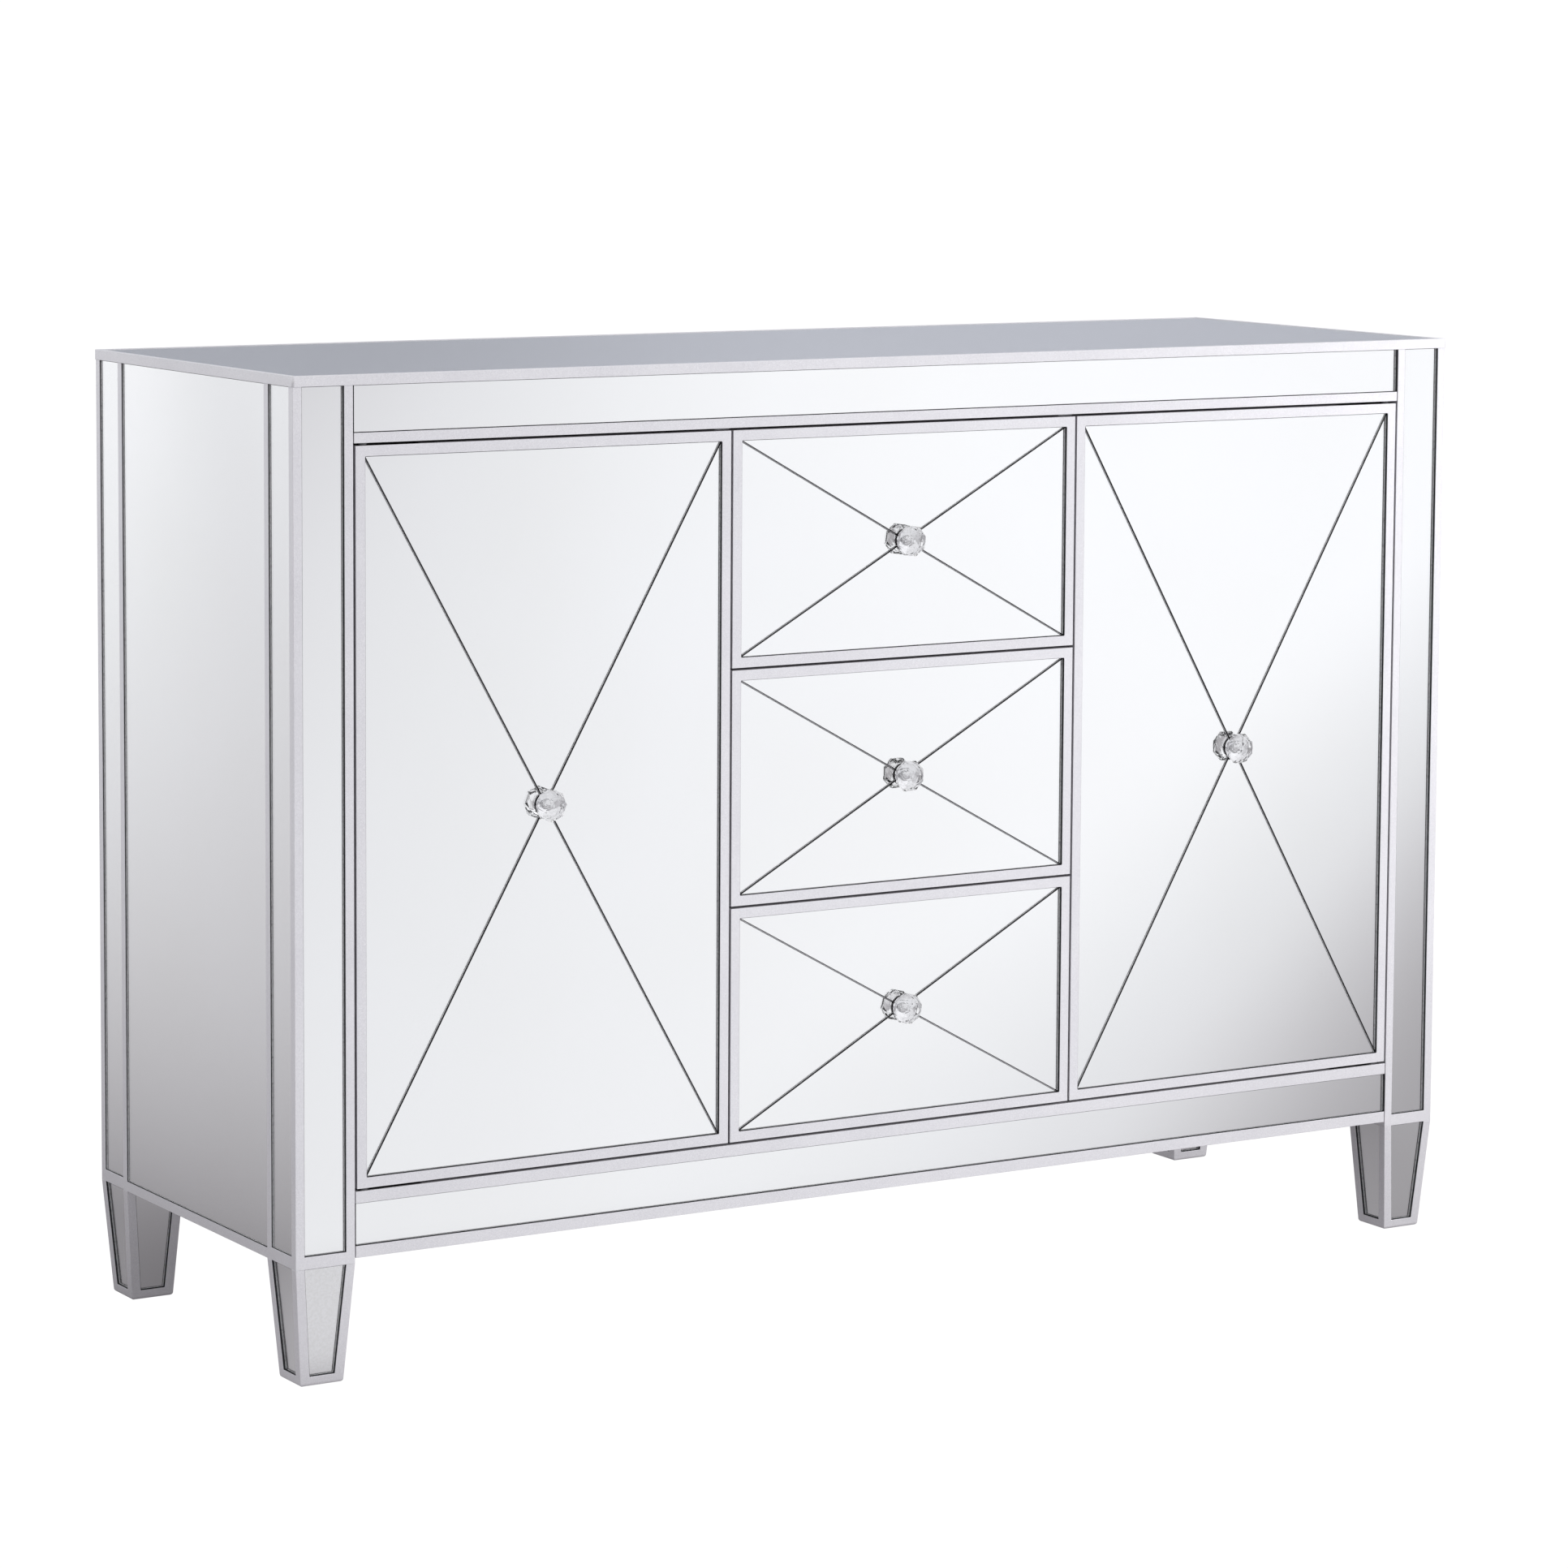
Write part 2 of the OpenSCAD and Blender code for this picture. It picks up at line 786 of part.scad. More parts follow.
// Two sides and the back, glued into a U
module drawer_box(i) {
    color(inner_paint) to_drawer(i) {
        both_sides() difference() {
            block([box_x - box_t, front_back, box_lift], [box_x, box_back_y, box_lift + box_h]);
            bottom_sheet(groove_play);
        }
        difference() {
            block(
                [-box_x + box_t, box_back_y - box_t, box_lift],
                [box_x - box_t, box_back_y, box_lift + box_h]
            );
            bottom_sheet(groove_play);
        }
    }
}

module drawer_bottom(i) {
    color([0.80, 0.76, 0.70]) to_drawer(i) bottom_sheet(0);
}

module drawer_slides(i) {
    y0 = front + board_t + 1;
    color(zinc) both_sides()
        channel(
            slide_w - channel_t, inner_from, slide_w, inner_h, channel_t,
            y0, y0 + slide_l - 3, slide_z(i)
        );
}

// U-shaped cages with two rows of balls, which roll at half the drawer's speed
module drawer_ball_cages(i) {
    y0 = front + board_t + 1 + cage_start;
    color(steel) both_sides() {
        channel(
            cage_from, cage_from, cage_to, 2 * cage_z + cage_t, cage_t,
            y0, y0 + cage_l, slide_z(i)
        );
        for (s = [-1, 1])
            for (n = [0 : ball_rows - 1])
                translate([
                    divider_in_x - ball_u,
                    y0 + cage_l * (n + 0.5) / ball_rows,
                    slide_z(i) + s * cage_z
                ]) sphere(ball_r);
    }
}

// ---------------------------------------------------------------- nodes

top_board();
top_mirror();
front_posts();
back_posts();
post_mirrors();
feet();
foot_mirrors();
foot_bolts();
floor_glides();
apron_rail();
apron_mirror();
low_rail();
low_rail_mirror();
side_panels();
side_mirrors();
back_panel();
back_screws();
back_rails();
bottom_board();
dividers();
shelves();
shelf_pins();
hinge_plates();
door_catches();
cabinet_slides();
door_frame(-1);  // door_left_frame
door_mirrors(-1);  // door_left_mirrors
door_knob(-1);  // door_left_knob
door_knob_mount(-1);  // door_left_knob_mount
door_hardware(-1);  // door_left_hardware
door_frame(1);  // door_right_frame
door_mirrors(1);  // door_right_mirrors
door_knob(1);  // door_right_knob
door_knob_mount(1);  // door_right_knob_mount
door_hardware(1);  // door_right_hardware
drawer_front(0);  // drawer_low_front
drawer_mirrors(0);  // drawer_low_mirrors
drawer_knob(0);  // drawer_low_knob
drawer_knob_mount(0);  // drawer_low_knob_mount
drawer_box(0);  // drawer_low_box
drawer_bottom(0);  // drawer_low_bottom
drawer_slides(0);  // drawer_low_slides
drawer_ball_cages(0);  // drawer_low_ball_cages
drawer_front(1);  // drawer_mid_front
drawer_mirrors(1);  // drawer_mid_mirrors
drawer_knob(1);  // drawer_mid_knob
drawer_knob_mount(1);  // drawer_mid_knob_mount
drawer_box(1);  // drawer_mid_box
drawer_bottom(1);  // drawer_mid_bottom
drawer_slides(1);  // drawer_mid_slides
drawer_ball_cages(1);  // drawer_mid_ball_cages
drawer_front(2);  // drawer_top_front
drawer_mirrors(2);  // drawer_top_mirrors
drawer_knob(2);  // drawer_top_knob
drawer_knob_mount(2);  // drawer_top_knob_mount
drawer_box(2);  // drawer_top_box
drawer_bottom(2);  // drawer_top_bottom
drawer_slides(2);  // drawer_top_slides
drawer_ball_cages(2);  // drawer_top_ball_cages
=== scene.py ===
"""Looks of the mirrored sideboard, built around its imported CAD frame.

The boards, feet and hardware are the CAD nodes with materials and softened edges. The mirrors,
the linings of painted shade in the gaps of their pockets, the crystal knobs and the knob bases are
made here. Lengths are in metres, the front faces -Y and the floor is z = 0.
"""
import json
import math

import bmesh
import bpy
from mathutils import Matrix, Vector


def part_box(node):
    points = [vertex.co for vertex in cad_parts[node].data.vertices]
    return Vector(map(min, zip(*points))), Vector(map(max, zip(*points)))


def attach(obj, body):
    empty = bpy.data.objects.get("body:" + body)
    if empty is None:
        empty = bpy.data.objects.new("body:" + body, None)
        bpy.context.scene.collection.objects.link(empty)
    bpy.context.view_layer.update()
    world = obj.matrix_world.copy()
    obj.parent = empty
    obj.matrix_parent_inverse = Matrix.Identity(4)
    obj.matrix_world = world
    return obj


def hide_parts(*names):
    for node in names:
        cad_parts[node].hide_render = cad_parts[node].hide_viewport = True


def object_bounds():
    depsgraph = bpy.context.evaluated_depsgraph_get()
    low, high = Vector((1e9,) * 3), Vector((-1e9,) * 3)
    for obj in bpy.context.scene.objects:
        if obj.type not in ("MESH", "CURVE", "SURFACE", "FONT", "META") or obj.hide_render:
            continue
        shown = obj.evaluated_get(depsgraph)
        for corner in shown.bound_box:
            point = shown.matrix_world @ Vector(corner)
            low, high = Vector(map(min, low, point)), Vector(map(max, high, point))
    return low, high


MM = 0.001

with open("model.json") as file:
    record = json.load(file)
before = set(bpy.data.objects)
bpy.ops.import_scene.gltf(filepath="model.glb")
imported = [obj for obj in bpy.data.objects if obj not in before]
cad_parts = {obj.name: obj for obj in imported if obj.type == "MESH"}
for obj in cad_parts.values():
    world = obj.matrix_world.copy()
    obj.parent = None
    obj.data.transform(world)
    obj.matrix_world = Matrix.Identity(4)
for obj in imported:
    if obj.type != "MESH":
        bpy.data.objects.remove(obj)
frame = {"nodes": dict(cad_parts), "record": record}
cad_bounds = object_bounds()
nodes = frame["nodes"]
scene = bpy.context.scene

DOORS = ("door_left", "door_right")
DRAWERS = ("drawer_low", "drawer_mid", "drawer_top")
FRONTS = DOORS + DRAWERS


# ---------------------------------------------------------------- materials

class Shader:
    """A node material with a Principled surface, and short ways to add texture nodes to it."""

    def __init__(self, name, **sockets):
        self.material = bpy.data.materials.new(name)
        self.material.use_nodes = True
        self.nodes = self.material.node_tree.nodes
        self.links = self.material.node_tree.links
        self.surface = self.nodes["Principled BSDF"]
        for key, value in sockets.items():
            self.surface.inputs[key.replace("_", " ")].default_value = value
        coordinates = self.nodes.new("ShaderNodeTexCoord")
        self.place = coordinates.outputs["Object"]

    def stretched(self, x, y, z):
        """Coordinates in metres, scaled differently along the three axes."""
        mapping = self.nodes.new("ShaderNodeMapping")
        mapping.inputs["Scale"].default_value = (x, y, z)
        self.links.new(self.place, mapping.inputs["Vector"])
        return mapping.outputs["Vector"]

    def noise(self, scale, detail=2.0, place=None, roughness=0.5):
        texture = self.nodes.new("ShaderNodeTexNoise")
        texture.inputs["Scale"].default_value = scale
        texture.inputs["Detail"].default_value = detail
        texture.inputs["Roughness"].default_value = roughness
        self.links.new(place or self.place, texture.inputs["Vector"])
        return texture.outputs["Fac"]

    def flakes(self, scale):
        texture = self.nodes.new("ShaderNodeTexVoronoi")
        texture.inputs["Scale"].default_value = scale
        self.links.new(self.place, texture.inputs["Vector"])
        split = self.nodes.new("ShaderNodeSeparateColor")
        self.links.new(texture.outputs["Color"], split.inputs["Color"])
        return split.outputs["Red"]

    def ramp(self, value, *stops):
        """Colours along a 0 to 1 value; each stop is (position, colour)."""
        node = self.nodes.new("ShaderNodeValToRGB")
        elements = node.color_ramp.elements
        while len(elements) < len(stops):
            elements.new(0.5)
        for element, (position, colour) in zip(elements, stops):
            element.position = position
            element.color = (*colour, 1.0)
        self.links.new(value, node.inputs["Fac"])
        return node.outputs["Color"]

    def span(self, value, low, high, start=0.3, end=0.7):
        """Maps a value from start..end to low..high."""
        node = self.nodes.new("ShaderNodeMapRange")
        node.inputs["From Min"].default_value = start
        node.inputs["From Max"].default_value = end
        node.inputs["To Min"].default_value = low
        node.inputs["To Max"].default_value = high
        self.links.new(value, node.inputs["Value"])
        return node.outputs["Result"]

    def mix(self, factor, first, second, blend="MIX"):
        node = self.nodes.new("ShaderNodeMix")
        node.data_type = "RGBA"
        node.blend_type = blend
        # A colour Mix node takes its factor at input 0 and its colours at inputs 6 and 7.
        for socket, value in ((0, factor), (6, first), (7, second)):
            if isinstance(value, float):
                node.inputs[socket].default_value = value
            else:
                self.links.new(value, node.inputs[socket])
        return node.outputs[2]

    def bump(self, height, depth, strength=1.0):
        node = self.nodes.new("ShaderNodeBump")
        node.inputs["Strength"].default_value = strength
        node.inputs["Distance"].default_value = depth
        self.links.new(height, node.inputs["Height"])
        self.links.new(node.outputs["Normal"], self.surface.inputs["Normal"])

    def feed(self, socket, value):
        self.links.new(value, self.surface.inputs[socket])


def silver_paint():
    """Metallic silver paint: fine flakes, soft clouding and a little orange peel."""
    s = Shader("silver_paint", Metallic=0.7, IOR=1.45)
    dark, middle, bright = (0.67, 0.66, 0.69), (0.73, 0.72, 0.75), (0.83, 0.82, 0.85)
    flakes = s.ramp(s.flakes(2600), (0.0, dark), (0.55, middle), (1.0, bright))
    clouds = s.ramp(s.noise(14, 4), (0.3, (0.95, 0.95, 0.955)), (0.7, (1.0, 1.0, 1.0)))
    s.feed("Base Color", s.mix(1.0, flakes, clouds, "MULTIPLY"))
    s.feed("Roughness", s.span(s.noise(900, 2), 0.34, 0.46))
    s.bump(s.noise(1500, 2), 0.02 * MM, 0.5)
    return s.material


def glass_face():
    """The clear front of a mirror."""
    s = Shader("mirror_glass_face", IOR=1.5, Transmission_Weight=1.0, Base_Color=(0.992, 0.995, 1.0, 1))
    s.feed("Roughness", s.span(s.noise(6, 3), 0.0, 0.004))
    return s.material


def glass_silvering(mottled):
    """The silver layer on the back of a mirror. The mottled one goes on the front mirror of the front left
    foot.
    """
    s = Shader("mottled_silvering" if mottled else "mirror_silvering", Metallic=1.0)
    low = 0.92 if mottled else 0.955
    clouds = s.noise(420 if mottled else 3, 4)
    s.feed("Base Color", s.ramp(clouds, (0.35, (low, low, low)), (0.65, (0.975, 0.977, 0.985))))
    s.feed("Roughness", s.span(clouds, 0.0, 0.10 if mottled else 0.004))
    if mottled:
        s.bump(s.noise(160, 3), 0.01 * MM, 0.12)
    return s.material


def ground_edge_and_gap_shade():
    """Ground glass edge with small chips: pale grey seen through the glass, its own colour; very dark from
    the outer side, painted shade of the gaps.
    """
    s = Shader("ground_glass_edge_and_gap_shade", Metallic=0.0)
    chips = s.noise(420, 3, roughness=0.7)
    gap_shade_black, dark, chipped = (0.012, 0.011, 0.013), (0.05, 0.048, 0.05), (0.35, 0.35, 0.36)
    # Painted shade: the outer side of each edge and chamfer is very dark, standing in for the shadow in the
    # narrow gaps; the chips are paler.
    outer_painted_shade = s.ramp(chips, (0.45, gap_shade_black), (0.64, dark), (0.74, chipped))
    grey_glass, pale, white = (0.45, 0.45, 0.47), (0.88, 0.88, 0.89), (0.97, 0.97, 0.97)
    inside = s.ramp(chips, (0.33, grey_glass), (0.45, pale), (0.65, white))
    geometry = s.nodes.new("ShaderNodeNewGeometry")
    s.feed("Base Color", s.mix(geometry.outputs["Backfacing"], outer_painted_shade, inside))
    s.feed("Roughness", s.span(chips, 0.25, 0.6))
    s.bump(chips, 0.05 * MM, 0.5)
    return s.material


def dark_reveal():
    """Painted shade: very dark colour for the lining of the pockets around the mirrors, where the gap between
    glass and pocket wall lies in shade.
    """
    s = Shader("dark_reveal", Specular_IOR_Level=0.25)
    s.feed("Base Color", s.ramp(s.noise(700, 3), (0.3, (0.010, 0.010, 0.013)), (0.7, (0.05, 0.05, 0.056))))
    s.feed("Roughness", s.span(s.noise(300, 2), 0.45, 0.7))
    return s.material


def crystal():
    s = Shader("crystal", IOR=1.47, Transmission_Weight=1.0, Base_Color=(1.0, 1.0, 1.0, 1))
    s.feed("Roughness", s.span(s.noise(60, 2), 0.0, 0.006))
    return s.material


def steel(name, colour, low, high, lay=(1, 1, 1), scale=500):
    """Bare or plated steel with fine marks along one direction."""
    s = Shader(name, Metallic=1.0)
    marks = s.noise(scale, 3, s.stretched(*lay))
    dull = tuple(0.8 * c for c in colour)
    s.feed("Base Color", s.ramp(marks, (0.3, dull), (0.7, colour)))
    s.feed("Roughness", s.span(marks, low, high))
    s.bump(marks, 0.01 * MM, 0.4)
    return s.material


def plastic(name, colour):
    s = Shader(name)
    grain = s.noise(1800, 3)
    s.feed("Base Color", s.ramp(grain, (0.3, tuple(0.7 * c for c in colour)), (0.7, colour)))
    s.feed("Roughness", s.span(grain, 0.42, 0.6))
    s.bump(grain, 0.03 * MM, 0.5)
    return s.material


def inner_paint():
    """Grey lacquer on the boards inside: slightly rough, with a faint board grain under it."""
    s = Shader("inner_paint", Metallic=0.25)
    clouds = s.noise(9, 4)
    s.feed("Base Color", s.ramp(clouds, (0.3, (0.50, 0.50, 0.52)), (0.7, (0.57, 0.57, 0.59))))
    s.feed("Roughness", s.span(s.noise(700, 3), 0.45, 0.62))
    s.bump(s.noise(900, 3), 0.03 * MM, 0.5)
    return s.material


def hardboard():
    """Brown hardboard: short pressed fibres and darker specks."""
    s = Shader("hardboard")
    fibres = s.noise(260, 5, s.stretched(1, 1, 3), 0.65)
    dark, middle, pale = (0.085, 0.050, 0.028), (0.20, 0.125, 0.072), (0.31, 0.205, 0.125)
    fleck = s.ramp(fibres, (0.32, dark), (0.5, middle), (0.72, pale))
    clouds = s.ramp(s.noise(5, 3), (0.3, (0.86, 0.86, 0.86)), (0.7, (1.0, 1.0, 1.0)))
    s.feed("Base Color", s.mix(1.0, fleck, clouds, "MULTIPLY"))
    s.feed("Roughness", s.span(fibres, 0.5, 0.75))
    s.bump(fibres, 0.08 * MM, 0.6)
    return s.material


def plywood():
    """Pale plywood of the drawer bottoms, its grain along X."""
    s = Shader("plywood")
    grain = s.noise(40, 5, s.stretched(0.12, 1, 1), 0.6)
    pores = s.noise(900, 2, s.stretched(0.06, 1, 1))
    wood = s.ramp(grain, (0.3, (0.46, 0.33, 0.20)), (0.55, (0.62, 0.47, 0.31)), (0.75, (0.70, 0.55, 0.38)))
    dark = s.ramp(pores, (0.28, (0.72, 0.68, 0.62)), (0.42, (1.0, 1.0, 1.0)))
    s.feed("Base Color", s.mix(1.0, wood, dark, "MULTIPLY"))
    s.feed("Roughness", s.span(grain, 0.45, 0.6))
    s.bump(pores, 0.05 * MM, 0.5)
    return s.material


PAINT = silver_paint()
FACE = glass_face()
SILVERING = glass_silvering(False)
MOTTLED = glass_silvering(True)
EDGE_AND_GAP_SHADE = ground_edge_and_gap_shade()
POCKET_SHADE = dark_reveal()
CRYSTAL = crystal()
KNOB_METAL = steel("knob_metal", (0.22, 0.215, 0.22), 0.2, 0.34, (1, 12, 1), 300)
KNOB_CHROME = steel("knob_chrome", (0.90, 0.90, 0.92), 0.06, 0.16, (1, 12, 1), 300)
ZINC = steel("zinc_steel", (0.62, 0.63, 0.64), 0.28, 0.42)
SLIDE_STEEL = steel("slide_steel", (0.60, 0.61, 0.62), 0.25, 0.4, (1, 0.05, 1), 700)
BALL_STEEL = steel("ball_steel", (0.66, 0.66, 0.67), 0.12, 0.22)
HINGE_STEEL = steel("hinge_steel", (0.13, 0.13, 0.135), 0.25, 0.4, (0.05, 1, 1), 700)
BLACK_PLASTIC = plastic("dark_plastic", (0.035, 0.035, 0.038))
INNER = inner_paint()
HARDBOARD = hardboard()
PLYWOOD = plywood()

SLOT_MATERIALS = {
    "silver_paint": PAINT, "mirror_glass": SILVERING, "crystal": CRYSTAL, "knob_metal": KNOB_METAL,
    "zinc_steel": ZINC, "slide_steel": SLIDE_STEEL, "ball_steel": BALL_STEEL, "hinge_steel": HINGE_STEEL,
    "dark_plastic": BLACK_PLASTIC, "hardboard": HARDBOARD, "drawer_ply": PLYWOOD, "inner_board": INNER,
}

for part in frame["record"]["subparts"]:
    data = nodes[part["node"]].data
    data.materials.clear()
    data.materials.append(SLOT_MATERIALS[part["material_slot"]])


# ---------------------------------------------------------------- softened edges of the boards

def soften(node, width, segments=2):
    """Joins the CAD mesh's split faces and rounds its sharp edges."""
    obj = nodes[node]
    weld = obj.modifiers.new("weld", "WELD")
    weld.merge_threshold = 0.005 * MM
    flat = obj.modifiers.new("flat", "DECIMATE")
    flat.decimate_type = "DISSOLVE"
    flat.angle_limit = math.radians(0.5)
    round_off = obj.modifiers.new("edges", "BEVEL")
    round_off.width = width
    round_off.segments = segments
    round_off.limit_method = "ANGLE"
    round_off.angle_limit = math.radians(40)
    round_off.harden_normals = True


PAINTED = ["top_board", "front_posts", "back_posts", "feet", "apron_rail", "low_rail", "side_panels"]
PAINTED += [f"{door}_frame" for door in DOORS] + [f"{drawer}_front" for drawer in DRAWERS]
for name in PAINTED:
    soften(name, 0.3 * MM)
for name in ["back_rails", "bottom_board", "dividers", "shelves"] + [f"{d}_box" for d in DRAWERS]:
    soften(name, 0.6 * MM)
for name in ["back_panel"] + [f"{d}_bottom" for d in DRAWERS]:
    soften(name, 0.3 * MM)
for name in ["hinge_plates", "cabinet_slides"] + [f"{d}_slides" for d in DRAWERS]:
    soften(name, 0.15 * MM)
soften("door_catches", 0.5 * MM)
soften("floor_glides", 0.4 * MM)


# ---------------------------------------------------------------- mesh helpers

def new_piece(name, bm, materials, body):
    """Makes a mesh object from bm that rides on a CAD body."""
    bmesh.ops.recalc_face_normals(bm, faces=bm.faces)
    data = bpy.data.meshes.new(name)
    bm.to_mesh(data)
    bm.free()
    for material in materials:
        data.materials.append(material)
    obj = bpy.data.objects.new(name, data)
    scene.collection.objects.link(obj)
    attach(obj, body)
    return obj


def big_faces(node, outward_from):
    """The outer face of every loose solid of a node: (corner points in order, normal, thickness)."""
    bm = bmesh.new()
    bm.from_mesh(nodes[node].data)
    bmesh.ops.remove_doubles(bm, verts=bm.verts, dist=0.005 * MM)
    bmesh.ops.dissolve_limit(bm, angle_limit=math.radians(0.5), verts=bm.verts, edges=bm.edges)
    found = []
    left = set(bm.faces)
    while left:
        island, todo = set(), [left.pop()]
        while todo:
            face = todo.pop()
            island.add(face)
            for edge in face.edges:
                for other in edge.link_faces:
                    if other in left:
                        left.discard(other)
                        todo.append(other)
        pair = sorted(island, key=lambda f: -f.calc_area())[:2]
        middle = [f.calc_center_median() for f in pair]
        outward = [f.normal.dot(m - outward_from(m)) for f, m in zip(pair, middle)]
        pick = 0 if outward[0] > outward[1] else 1
        front, back = pair[pick], pair[1 - pick]
        thickness = abs((middle[pick] - middle[1 - pick]).dot(front.normal))
        found.append(([v.co.copy() for v in front.verts], front.normal.copy(), thickness))
    bm.free()
    return found


def offset(points, normal, distance):
    """Moves a closed outline outwards by a distance within its plane, or inwards if negative."""
    moved = []
    for i, point in enumerate(points):
        before = (point - points[i - 1]).normalized()
        after = (points[(i + 1) % len(points)] - point).normalized()
        out_before = before.cross(normal)
        out_after = after.cross(normal)
        middle = (out_before + out_after).normalized()
        moved.append(point + middle * distance / max(0.3, middle.dot(out_before)))
    return moved


def loop_of(bm, points, shift=Vector()):
    return [bm.verts.new(p + shift) for p in points]


def skin(bm, first, second, material=0):
    """Quads between two loops of the same length."""
    for i in range(len(first)):
        j = (i + 1) % len(first)
        bm.faces.new((first[i], first[j], second[j], second[i])).material_index = material


# ---------------------------------------------------------------- mirrors

CHAMFER = 0.25 * MM
BACK_GAP = 0.1 * MM


def add_pane(bm, points, normal, thickness, silvering):
    """One mirror: clear face, ground chamfer and edges (their outer side painted shade of the gaps), and a
    back with the silvering material.
    """
    face = loop_of(bm, offset(points, normal, -CHAMFER))
    rim = loop_of(bm, points, -normal * CHAMFER)
    back = loop_of(bm, points, -normal * (thickness - BACK_GAP))
    bm.faces.new(face).material_index = 0
    skin(bm, face, rim, 1)
    skin(bm, rim, back, 1)
    bm.faces.new(back).material_index = silvering


# The lining of painted shade: its inner and outer distance from the pane's edge, and how far below the paint
# it stops.
POCKET_SHADE_NEAR = 0.06 * MM
POCKET_SHADE_FAR = 0.26 * MM
POCKET_SHADE_DROP = 0.35 * MM


def add_pocket_shade(bm, points, normal, thickness, recess):
    """A thin dark lining of painted shade against the walls of a pocket, from its floor to just below the
    paint.
    """
    rings = []
    for out in (POCKET_SHADE_NEAR, POCKET_SHADE_FAR):
        outline = offset(points, normal, out)
        rings.append(loop_of(bm, outline, -normal * (thickness - 0.05 * MM)))
        rings.append(loop_of(bm, outline, normal * (recess - POCKET_SHADE_DROP)))
    low_in, high_in, low_out, high_out = rings
    skin(bm, low_in, high_in)
    skin(bm, high_in, high_out)
    skin(bm, high_out, low_out)
    skin(bm, low_out, low_in)


CENTRE = (cad_bounds[0] + cad_bounds[1]) / 2
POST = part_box("front_posts")[1].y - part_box("front_posts")[0].y
FOOT_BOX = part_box("feet")


def from_centre(point):
    """The outward reference of a flat outer face: the middle of the cabinet at the same height."""
    return Vector((0, CENTRE.y, point.z))


def from_foot_axis(point):
    """The axis of the foot that a point belongs to."""
    low, high = FOOT_BOX
    x = low.x + POST / 2 if point.x < 0 else high.x - POST / 2
    y = low.y + POST / 2 if point.y < CENTRE.y else high.y - POST / 2
    return Vector((x, y, point.z))


def is_mottled(points, normal):
    """The front mirror of the front left foot is slightly mottled."""
    corner = points[0]
    return corner.z < FOOT_BOX[1].z and corner.x < 0 and normal.y < -0.5 and corner.y < CENTRE.y


def make_mirrors(node, body, recess, outward_from=from_centre, band=True, side_recess=None):
    """Replaces a CAD node of plain panes, and lines the pocket of each pane with painted shade."""
    panes = bmesh.new()
    bands = bmesh.new()
    for points, normal, thickness in big_faces(node, outward_from):
        add_pane(panes, points, normal, thickness, 3 if is_mottled(points, normal) else 2)
        if band:
            on_side = side_recess and abs(normal.x) > 0.5
            add_pocket_shade(bands, points, normal, thickness, side_recess if on_side else recess)
    piece = new_piece(f"{node}_panes", panes, [FACE, EDGE_AND_GAP_SHADE, SILVERING, MOTTLED], body)
    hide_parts(node)
    if band:
        new_piece(f"{node}_reveal", bands, [POCKET_SHADE], body)
    else:
        bands.free()


RECESS = 2 * MM
SIDE_RECESS = 1 * MM
TOP_RECESS = 0.4 * MM
POCKET_CORNER = 1 * MM

make_mirrors("top_mirror", "carcass", TOP_RECESS, lambda p: Vector(), band=False)
for name in ("apron_mirror", "low_rail_mirror", "side_mirrors", "post_mirrors"):
    make_mirrors(name, "carcass", RECESS, side_recess=SIDE_RECESS)
make_mirrors("foot_mirrors", "carcass", RECESS, from_foot_axis)

for name in FRONTS:
    make_mirrors(f"{name}_mirrors", name, RECESS, band=False)
    low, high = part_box(f"{name}_mirrors")
    outline = []
    for x, z, start in ((high.x, low.z, -90), (high.x, high.z, 0), (low.x, high.z, 90), (low.x, low.z, 180)):
        side_x = -1 if x == high.x else 1
        side_z = -1 if z == high.z else 1
        for step in range(5):
            turn = math.radians(start + 22.5 * step)
            outline.append(Vector((
                x + POCKET_CORNER * (side_x + math.cos(turn)),
                low.y,
                z + POCKET_CORNER * (side_z + math.sin(turn)),
            )))
    # The pocket of each front is lined with painted shade, following the pocket's rounded corners.
    band = bmesh.new()
    add_pocket_shade(band, outline, Vector((0, -1, 0)), high.y - low.y, RECESS)
    new_piece(f"{name}_reveal", band, [POCKET_SHADE], name)


# ---------------------------------------------------------------- knobs

CRYSTAL_RADIUS = 14.6 * MM
INSERT_RIDGES = 6
# How far each knob is turned about its screw, in degrees.
KNOB_TURNS = {"door_left": 0, "door_right": 22.5, "drawer_low": 9, "drawer_mid": 22.5, "drawer_top": 14}


def ring(bm, radius, height, sides, turn=0.0):
    """A loop of vertices around +Z."""
    loop = []
    for i in range(sides):
        angle = 2 * math.pi * (i + turn) / sides
        loop.append(bm.verts.new((radius * math.cos(angle), radius * math.sin(angle), height)))
    return loop


def lathe(bm, profile, sides, bright_rows=()):
    """Turns (radius, height) points around +Z; the bright rows use the second material."""
    loops = [ring(bm, r, z, sides) for r, z in profile]
    for row, (first, second) in enumerate(zip(loops, loops[1:])):
        skin(bm, first, second, int(row in bright_rows))
    bm.faces.new(loops[0])
    bm.faces.new(loops[-1]).material_index = int(len(bright_rows) > 0)


def facets(bm, first, second):
    """Triangles between two octagons, the second turned by half a side."""
    count = len(first)
    for i in range(count):
        j = (i + 1) % count
        bm.faces.new((first[i], first[j], second[i]))
        bm.faces.new((first[j], second[j], second[i]))


